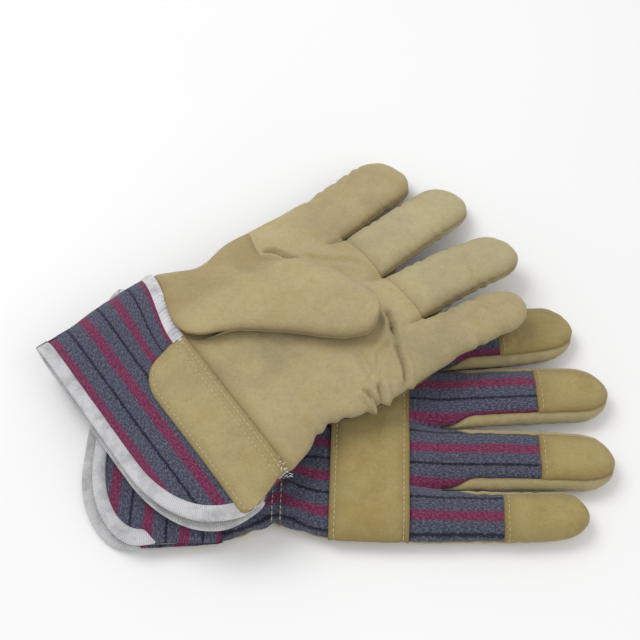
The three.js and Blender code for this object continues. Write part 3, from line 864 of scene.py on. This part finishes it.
def finger_relief(glove, finger, amount):
    """Wrinkles across the finger at its two joints. Each entry is a share of the length and a depth."""
    seed = glove["seed"] + 17 * finger["number"]

    def relief(x, y, q):
        along = y - HAND_LENGTH * glove["hand_rucked"]
        grow = smooth(along / 6)
        rise = 0.35 * fbm(x, y, 15, seed) + 0.12 * fbm(x, y, 4, seed + 4)
        for share, deep in ((0.24, 0.55), (0.33, 0.35), (0.55, 0.6), (0.62, 0.35)):
            place = along - share * finger["length"] + 2.5 * noise(x, 0 * x, 11, seed + share * 10)
            rise = rise - amount * deep * gauss(place, 1.5)
            rise = rise + amount * 0.5 * deep * gauss(np.abs(place) - 3.2, 1.6)
        return rise * grow
    return relief


def soft_relief(seed, size, amount):
    """Soft unevenness only."""
    def relief(x, y, q):
        return amount * fbm(x, y, size, seed) + 0.12 * fbm(x, y, 4.5, seed + 4)
    return relief


# ---- baking each piece's placement into its mesh ----


def across_wrist(obj):
    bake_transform(obj)


def across_knuckle(obj):
    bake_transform(obj)


def across_thumb(obj):
    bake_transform(obj)


# ---- the hand ----

def make_hand(glove):
    """The palm, the back, the strap over the knuckles, the lining inside, and their stitches."""
    on_hand = partial(panel, glove, hand_surface(glove), at=60)
    wrapped, under = 1 - LEATHER_WRAP, glove["little_wrap"]
    whole, open_end = (0, HAND_LENGTH), (1, 1, 1, 0)
    palm = on_hand(
        "palm_leather", "palm", LEATHER_PALM, (wrapped, 2 + under), whole,
        seams=open_end, relief=palm_relief(glove))
    back = on_hand(
        "back_drill", "back_cloth", BACK_STRIPES, (under, wrapped), whole,
        seams=open_end, relief=back_relief(glove))
    strap = on_hand(
        "strap_leather", "knuckle_strap", LEATHER_GOLD, (0.02, wrapped - 0.01), STRAP,
        offset=STRAP_RISE, relief=strap_relief(glove), dip=0.25)
    lining = on_hand(
        "palm_inner", "palm_lining", LINING, (1.26, 1.74), (3, HAND_LENGTH - 3),
        offset=-LINING_DEPTH, step=2.5, relief=palm_relief(glove))
    for piece in (palm, back, strap, lining):
        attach(piece, f"{glove['name']}_hand")
    for k, y in enumerate((ELASTIC_AT - 2.0, ELASTIC_AT + 2.0)):
        stitch_across(glove, f"elastic_stitches_{k + 1}", y, back_relief(glove), 0.15, (0.05, 0.02))
    for k, y in enumerate((STRAP[0] + STRAP_SEAM, STRAP[1] - STRAP_SEAM)):
        rise = STRAP_RISE + 0.2
        stitch_across(glove, f"strap_stitches_{k + 1}", y, strap_relief(glove), rise, (0.04, 0.03))


def stitch_across(glove, name, y, relief, rise, ends):
    """A row of stitches across the back of the hand at y, that far above the relief."""
    surface = hand_surface(glove)

    def row(t):
        q = mix(ends[0], 1 - LEATHER_WRAP - ends[1], t)
        along = np.full_like(t, float(y))
        x, _, _, _ = surface(q, along, 0.0)
        return surface(q, along, relief(x, along, q) + rise)[:3]

    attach(stitches(glove, name, row), f"{glove['name']}_hand")


# ---- the cuff ----

def hem_outline(glove, k, inset):
    """q and d along the hem: from the slit's top on the back, round to its top on the palm side."""
    back = k <= 0.5
    t = np.where(back, k, 1 - k) * 2
    across, along = glove["corner"][0] - inset, glove["corner"][1] - inset
    straight = CUFF_LENGTH - inset - along
    turn = np.clip((t - HEM_SLIT) / (HEM_CORNER - HEM_SLIT), 0, 1) * (math.pi / 2)
    on_slit = t <= HEM_SLIT
    x = np.where(on_slit, CUFF_HALF - inset, CUFF_HALF - inset - across * (1 - np.cos(turn)))
    d = np.where(on_slit, mix(0.3, straight, t / HEM_SLIT), straight + along * np.sin(turn))
    s = section_at(x, CUFF_HALF, EDGE_ROUND)
    s = np.where(t > HEM_CORNER, mix(s, 1, (t - HEM_CORNER) / (1 - HEM_CORNER)), s)
    return np.where(back, s, 2 - s), d


def hem_limit(glove, inset):
    """How far the cuff reaches at each q, with its rounded corner at the slit."""
    across, along = glove["corner"][0] - inset, glove["corner"][1] - inset

    def limit(q):
        x, _ = section(q, CUFF_HALF, 1, 1, EDGE_ROUND)
        share = np.clip((x - CUFF_HALF + inset + across) / across, 0, 1)
        return CUFF_LENGTH - inset - along * (1 - np.sqrt(1 - share * share))
    return limit


def folded_tape():
    """Section of a tape folded over the cuff's edge: inset from the edge, and height over the cloth."""
    outer = [(BINDING, 0.15), (BINDING - 0.4, 0.75), (BINDING / 2, 0.95), (1.0, 0.85), (0.2, 0.5)]
    inner = [(inset, -CLOTH - rise) for inset, rise in reversed(outer)]
    return [*outer, (0.0, -CLOTH / 2), *inner]


def make_hem_tape(glove):
    """One tape round the whole hem. It narrows to a thin edge inside the slit."""
    surface = cuff_surface(glove)
    k = np.linspace(0, 1, 330)
    full = smooth((2 * np.minimum(k, 1 - k) - 0.095) / 0.025)
    rings = []
    for inset, depth in folded_tape():
        q, d = hem_outline(glove, k, inset * mix(0.12, 1, full) + 0.4 * (1 - full))
        ruffle = 0.12 * noise(k * 500, np.full_like(k, inset), 12, glove["seed"])
        rise = (depth + CLOTH / 2) * mix(0.25, 1, full) - CLOTH / 2
        x, y, w, _ = surface(q, d, rise + ruffle * (1 if depth > -CLOTH / 2 else -1))
        rings.append(standing(glove, x, y, w))
    grid = np.stack(rings)
    run = lengths(grid, 1)[4]
    cloth = [np.stack([run, np.full_like(run, inset), np.full_like(run, 9)], axis=-1)
             for inset, _ in folded_tape()]
    count, rows = grid.shape[:2]
    faces = [tuple(face) for face in grid_faces(count, rows, wrap=True)]
    faces += [tuple(i * rows for i in range(count)), tuple(i * rows + rows - 1 for i in range(count))[::-1]]
    obj = add_object(f"{glove['name']}_hem_tape", grid.reshape(-1, 3), faces, WHITE_TAPE,
                     np.stack(cloth).reshape(-1, 3), 60)
    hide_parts(f"{glove['name']}_hem_binding")
    across_wrist(obj)


def make_cuff(glove):
    """The striped cuff, its facing, the ribbed tape over the wrist seam, and the patch."""
    on_cuff = partial(panel, glove, cuff_surface(glove))
    shell = on_cuff(
        "cuff_drill", "cuff", CUFF_STRIPES, (0.02, 1.98), (0, hem_limit(glove, 1.5)), at=40,
        seams=(0, 0, 1, 0), relief=soft_relief(glove["seed"] + 3, 30, 0.5),
        stripes=lambda x, d: (d - glove["cuff_phase"], x))
    facing = on_cuff(
        "cuff_facing", "cuff", FACING, (0.03, 1.97), (1, hem_limit(glove, 2.5)), at=40,
        offset=-CLOTH - 0.15, step=2.0, seams=(0, 0, 0, 0))
    ribbed = on_cuff(
        "ribbed_tape", "wrist_binding", RIBBED_TAPE, (0.93, 1.42), (-0.3, TOP_BINDING), at=4,
        offset=RIBBED_TAPE_RISE, dip=0.5,
        relief=lambda x, y, q: 0.3 * np.sin(x * 2 * math.pi / 2.6) + 0.2 * noise(x, y, 6, 4))
    for piece in (shell, facing, ribbed):
        across_wrist(piece)
    make_patch(glove)


def patch_end(q):
    """How far the patch reaches at each q, with its two rounded corners."""
    middle, half = sum(PATCH_SPAN) / 2, (PATCH_SPAN[1] - PATCH_SPAN[0]) / 2
    reach = np.clip((np.abs(q - middle) / half - PATCH_STRAIGHT) / (1 - PATCH_STRAIGHT), 0, 1)
    return PATCH_LENGTH - PATCH_CORNER * (1 - np.sqrt(1 - reach**2))


def patch_relief(glove):
    """Stitched furrows, and on the lower glove an edge that sinks under the tape at the slit."""
    sunk = 0 if glove["folded"] else 1.3

    def relief(x, y, q):
        seam = sum(gauss(-y - row, 0.8) for row in SEAM_ROWS)
        edge = gauss(patch_end(q) + y - PATCH_SEAM, 0.9)
        wavy = 0.4 * fbm(x, y, 20, glove["seed"] + 9) + 0.14 * fbm(x, y, 5, 2)
        return wavy - 0.45 * seam - 0.4 * edge - sunk * smooth((q - 1.85) / 0.07)
    return relief


def make_patch(glove):
    """The patch below the palm, with its two rows at the wrist seam and one round its edge."""
    surface = cuff_surface(glove)
    relief = patch_relief(glove)
    patch = panel(
        glove, surface, "patch_leather", "wrist_patch", LEATHER_PATCH, PATCH_SPAN, (-0.4, patch_end),
        at=10, offset=PATCH_RISE, relief=relief, dip=0.3)
    across_wrist(patch)
    middle = sum(PATCH_SPAN) / 2

    def stitch_row(label, margin, place):
        def row(t):
            q = mix(PATCH_SPAN[0] + margin, PATCH_SPAN[1] - margin, t)
            d = place(q)
            x, y, _, _ = surface(q, d, 0.0)
            return surface(q, d, relief(x, y, q) + PATCH_RISE + 0.2)[:3]
        across_wrist(stitches(glove, label, row))

    for k, seam in enumerate(SEAM_ROWS):
        stitch_row(f"seam_stitches_{k + 1}", 0.01, lambda q, seam=seam: np.full_like(q, seam))
    stitch_row("patch_stitches", 0.012, lambda q: patch_end(middle + (q - middle) * 1.02) - PATCH_SEAM)


def make_fray(glove):
    """Loose thread ends where the wrist seam runs out at the slit."""
    rng = np.random.default_rng(glove["seed"])
    surface = cuff_surface(glove)
    t = np.linspace(0, 1, 7)
    tubes = []
    for _ in range(20):
        q = rng.uniform(1.84, 1.99)
        d = rng.uniform(-1.0, 1.2)
        heading = rng.normal(-0.4, 0.8)
        reach = rng.uniform(0.7, 2.2)
        x, y, w, _ = surface(np.full(7, q), np.full(7, max(d, 0.0)), np.full(7, 2.0))
        curl = rng.uniform(-1.2, 1.2)
        x = x + reach * t * np.cos(heading + curl * t)
        y = y + reach * t * np.sin(heading + curl * t)
        w = w - 1.6 * np.sin(t * math.pi * rng.uniform(0.5, 0.9))
        tubes.append(tube(standing(glove, x, y, w), FRAY_RADIUS / METRE * (1 - 0.4 * t)))
    obj = add_object(f"{glove['name']}_frayed_ends", *joined_tubes(tubes), WHITE_THREAD, sharp=60)
    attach(obj, f"{glove['name']}_hand")


# ---- the fingers and the thumb ----

def towards_tip(t):
    """Rows that come closer together towards a round tip."""
    return np.sin(t * math.pi / 2)


def finger_spans(glove, finger):
    """Where a finger's back and front lie round its section: up to the gussets, or to the wrapped edges."""
    thumbward = LEATHER_WRAP if finger["first"] else GUSSET
    outward = glove["little_wrap"] if finger["last"] else GUSSET
    front_from = 1 - thumbward if finger["first"] else 1 + thumbward
    front_to = 2 + outward if finger["last"] else 2 - outward
    return (outward, 1 - thumbward), (front_from, front_to)


def make_finger(glove, finger):
    """A leather front, a striped back under a leather cap, and the gussets towards its neighbours."""
    surface = finger_surface(glove, finger)
    name = finger["name"]
    relief = finger_relief(glove, finger, 1.0 if glove["folded"] else 0.45)
    dip = 0.35 if glove["folded"] else 0.6
    on_finger = partial(panel, glove, at=20.0, step=0.9, relief=relief, dip=dip)
    whole = (0, finger["length"])
    cap_from = finger["length"] - finger["cap"]
    back, front = finger_spans(glove, finger)
    between = not finger["first"] and not finger["last"]
    pieces = [
        on_finger(surface, f"{name}_front_leather", f"{name}_front",
                  LEATHER_LIGHT if between else LEATHER_PALM, front, whole,
                  bunch=towards_tip, seams=(1, 1, between, 0)),
        # The back's end under the cap counts as a sewn edge, so the drill dips there and is painted darker
        # just below the cap: a painted shadow of the cap's edge.
        on_finger(surface, f"{name}_back_drill", f"{name}_back", BACK_STRIPES, back,
                  (0, cap_from + 1.5), seams=(1, 1, 0, 1)),
        on_finger(surface, f"{name}_cap_leather", f"{name}_cap", LEATHER_GOLD, back,
                  (cap_from, finger["length"]), offset=CAP_RISE, bunch=towards_tip, seams=(1, 1, 1, 0)),
    ]
    gussets = (
        (not finger["first"], "gusset_a", "gusset_thumbward", (1 - GUSSET, 1 + GUSSET)),
        (not finger["last"], "gusset_b", "gusset_outward", (-GUSSET, GUSSET)),
    )
    for label, node, span in (row[1:] for row in gussets if row[0]):
        pieces.append(on_finger(
            lambda q, along, offset: surface(np.where(q < 0, q + 2, q), along, offset),
            f"{name}_{label}", f"{name}_{node}", LEATHER_LIGHT, span, whole,
            bunch=towards_tip, seams=(1, 1, 0, 0)))

    def cap_row(t):
        q = mix(back[0] + 0.03, back[1] - 0.03, t)
        along = np.full_like(t, cap_from + CAP_SEAM)
        x, y, _, _ = surface(q, along, 0.0)
        return surface(q, along, relief(x, y, q) + CAP_RISE + 0.1)[:3]

    pieces.append(stitches(glove, f"{name}_cap_stitches", cap_row, 2.6, 0.26))
    for piece in pieces:
        across_knuckle(piece)


def make_thumb(glove):
    """The thumb's two leather halves. The folded thumb shows its back, stained at the root."""
    halves = (("back", 1, LEATHER_STAINED), ("front", 0, LEATHER_LIGHT))
    if not glove["folded"]:
        halves = (("back", 0, LEATHER_PALM), ("front", 1, LEATHER_LIGHT))
    for label, start, stuff in halves:
        piece = panel(
            glove, thumb_surface(glove), f"thumb_{label}_leather", f"thumb_{label}", stuff,
            (start, start + 1), (0, 1), at=0.4, bunch=towards_tip, seams=(1, 1, 0, 0),
            relief=soft_relief(glove["seed"] + 21, 20, 0.6))
        across_thumb(piece)


def make_glove(glove):
    make_hand(glove)
    make_cuff(glove)
    make_hem_tape(glove)
    make_thumb(glove)
    left = -KNUCKLE_HALF
    for number, (name, width, length, cap) in enumerate(FINGERS):
        make_finger(glove, dict(
            name=name, number=number, first=number == 0, last=number == len(FINGERS) - 1,
            x=left + width / 2, half=(width - FINGER_SIDE_GAP) / 2, cap=cap,
            length=length * glove["rucked"][number], root=HAND_LENGTH * glove["hand_rucked"],
            curl=glove["curl"][number], spread=glove["spread"][number], sway=glove["sway"][number]))
        left += width


def finish_elastics():
    """The elastics sewn inside are the only CAD nodes kept, so they get their own material."""
    for name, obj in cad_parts.items():
        if "elastic" in name:
            obj.data.materials.clear()
            obj.data.materials.append(ELASTIC)


# ---- the stage ----

VIEW_ELEVATION = 57
VIEW_DISTANCE = 0.64
VIEW_WIDTH = 0.325
SENSOR = 36


def make_stage():
    mesh = bpy.data.meshes.new("floor")
    mesh.from_pydata([(-4, -4, 0), (4, -4, 0), (4, 4, 0), (-4, 4, 0)], [], [(0, 1, 2, 3)])
    mesh.materials.append(pale_floor())
    floor = bpy.data.objects.new("floor", mesh)
    floor.location.z = -0.0002
    bpy.context.collection.objects.link(floor)


def make_camera():
    low, high = CAD_BOX
    x, y, z = ((a + b) / 2 for a, b in zip(low, high))
    tilt = math.radians(VIEW_ELEVATION)
    data = bpy.data.cameras.new("camera")
    data.sensor_width = SENSOR
    data.lens = SENSOR * VIEW_DISTANCE / VIEW_WIDTH
    camera = bpy.data.objects.new("camera", data)
    camera.location = (x, y - VIEW_DISTANCE * math.cos(tilt), z + VIEW_DISTANCE * math.sin(tilt))
    camera.rotation_euler = (math.pi / 2 - tilt, 0, 0)
    bpy.context.collection.objects.link(camera)
    bpy.context.scene.camera = camera


def add_area(name, location, aim, size, power):
    data = bpy.data.lights.new(name, "AREA")
    data.size = size
    data.energy = power
    light = bpy.data.objects.new(name, data)
    light.location = location
    away = np.array(location) - np.array(aim)
    flat = math.hypot(away[0], away[1])
    light.rotation_euler = (math.atan2(flat, away[2]), 0, math.atan2(away[0], -away[1]) if flat else 0)
    bpy.context.collection.objects.link(light)


def make_lights():
    world = bpy.data.worlds.new("studio")
    world.use_nodes = True
    world.node_tree.nodes["Background"].inputs["Color"].default_value = (1, 1, 1, 1)
    world.node_tree.nodes["Background"].inputs["Strength"].default_value = 0.62
    bpy.context.scene.world = world
    add_area("key_light", (-0.7, 0.5, 1.3), (0, 0.05, 0), 0.9, 11)
    add_area("fill_light", (0.9, -0.7, 1.2), (0, 0.05, 0), 1.2, 6)
    bpy.context.scene.view_settings.view_transform = "Standard"


make_camera()
make_lights()
make_stage()
for each in (RIGHT, LEFT):
    make_glove(each)
make_fray(LEFT)
finish_elastics()
